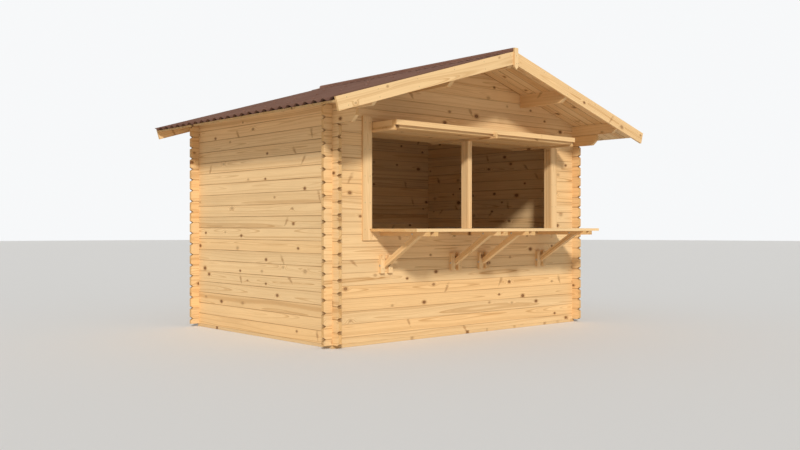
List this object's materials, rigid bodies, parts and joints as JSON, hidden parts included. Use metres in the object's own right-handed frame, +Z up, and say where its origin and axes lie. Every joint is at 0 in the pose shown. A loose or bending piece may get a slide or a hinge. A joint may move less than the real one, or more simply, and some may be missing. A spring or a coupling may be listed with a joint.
{
  "type": "wooden market stall",
  "caption": "Small market stall of crossing pine logs, with a corrugated gable roof, a serving opening, a counter on brackets and lifted hatch panels.",
  "frame": {"origin": "ground level under the middle of the whole stall's width and depth, counter and roof included", "axes": "+X along the serving front to the right as a customer sees it, +Y from the front to the back, +Z up"},
  "size_m": [4.3286, 3.1582, 2.7748],
  "materials": {
    "wall_log": "planed pine, unpainted, matt",
    "roof_timber": "planed pine, unpainted, matt",
    "roof_board": "planed pine, unpainted, matt",
    "barge_board": "planed pine, unpainted, matt",
    "opening_frame": "planed pine, unpainted, matt",
    "bracket": "planed pine, unpainted, matt",
    "counter_board": "planed pine, unpainted, matt",
    "hatch_panel": "planed pine, unpainted, matt",
    "bearer": "planed pine, unpainted, matt",
    "door": "planed pine, unpainted, matt",
    "roof_sheet": "matt brown-red corrugated sheet",
    "ridge_cap": "matt brown-red ridge piece"
  },
  "bodies": {
    "root": {"back_bearer": "bearer", "back_door": "door", "back_gable": "wall_log", "back_wall_left": "wall_log", "back_wall_right": "wall_log", "bottom_casing": "opening_frame", "counter_bracket_1": "bracket", "counter_bracket_2": "bracket", "counter_bracket_3": "bracket", "counter_bracket_4": "bracket", "counter_left": "counter_board", "counter_right": "counter_board", "door_frame": "door", "front_apex_cover": "barge_board", "front_barge_left": "barge_board", "front_barge_right": "barge_board", "front_bearer": "bearer", "front_gable": "wall_log", "front_wall_below": "wall_log", "front_wall_left": "wall_log", "front_wall_right": "wall_log", "hatch_arm_left": "bracket", "hatch_arm_middle": "bracket", "hatch_arm_right": "bracket", "hatch_left": "hatch_panel", "hatch_right": "hatch_panel", "left_bearer": "bearer", "left_casing": "opening_frame", "left_corbel_log": "roof_timber", "left_jamb_post": "opening_frame", "left_purlin": "roof_timber", "left_wall": "wall_log", "left_wall_plate": "roof_timber", "middle_post": "opening_frame", "rear_apex_cover": "barge_board", "rear_barge_left": "barge_board", "rear_barge_right": "barge_board", "ridge_cap": "ridge_cap", "ridge_purlin": "roof_timber", "right_bearer": "bearer", "right_casing": "opening_frame", "right_corbel_log": "roof_timber", "right_jamb_post": "opening_frame", "right_purlin": "roof_timber", "right_wall": "wall_log", "right_wall_plate": "roof_timber", "roof_boards_left": "roof_board", "roof_boards_right": "roof_board", "roof_sheet_left": "roof_sheet", "roof_sheet_right": "roof_sheet", "sill_plate": "opening_frame"}
  },
  "joints": []
}
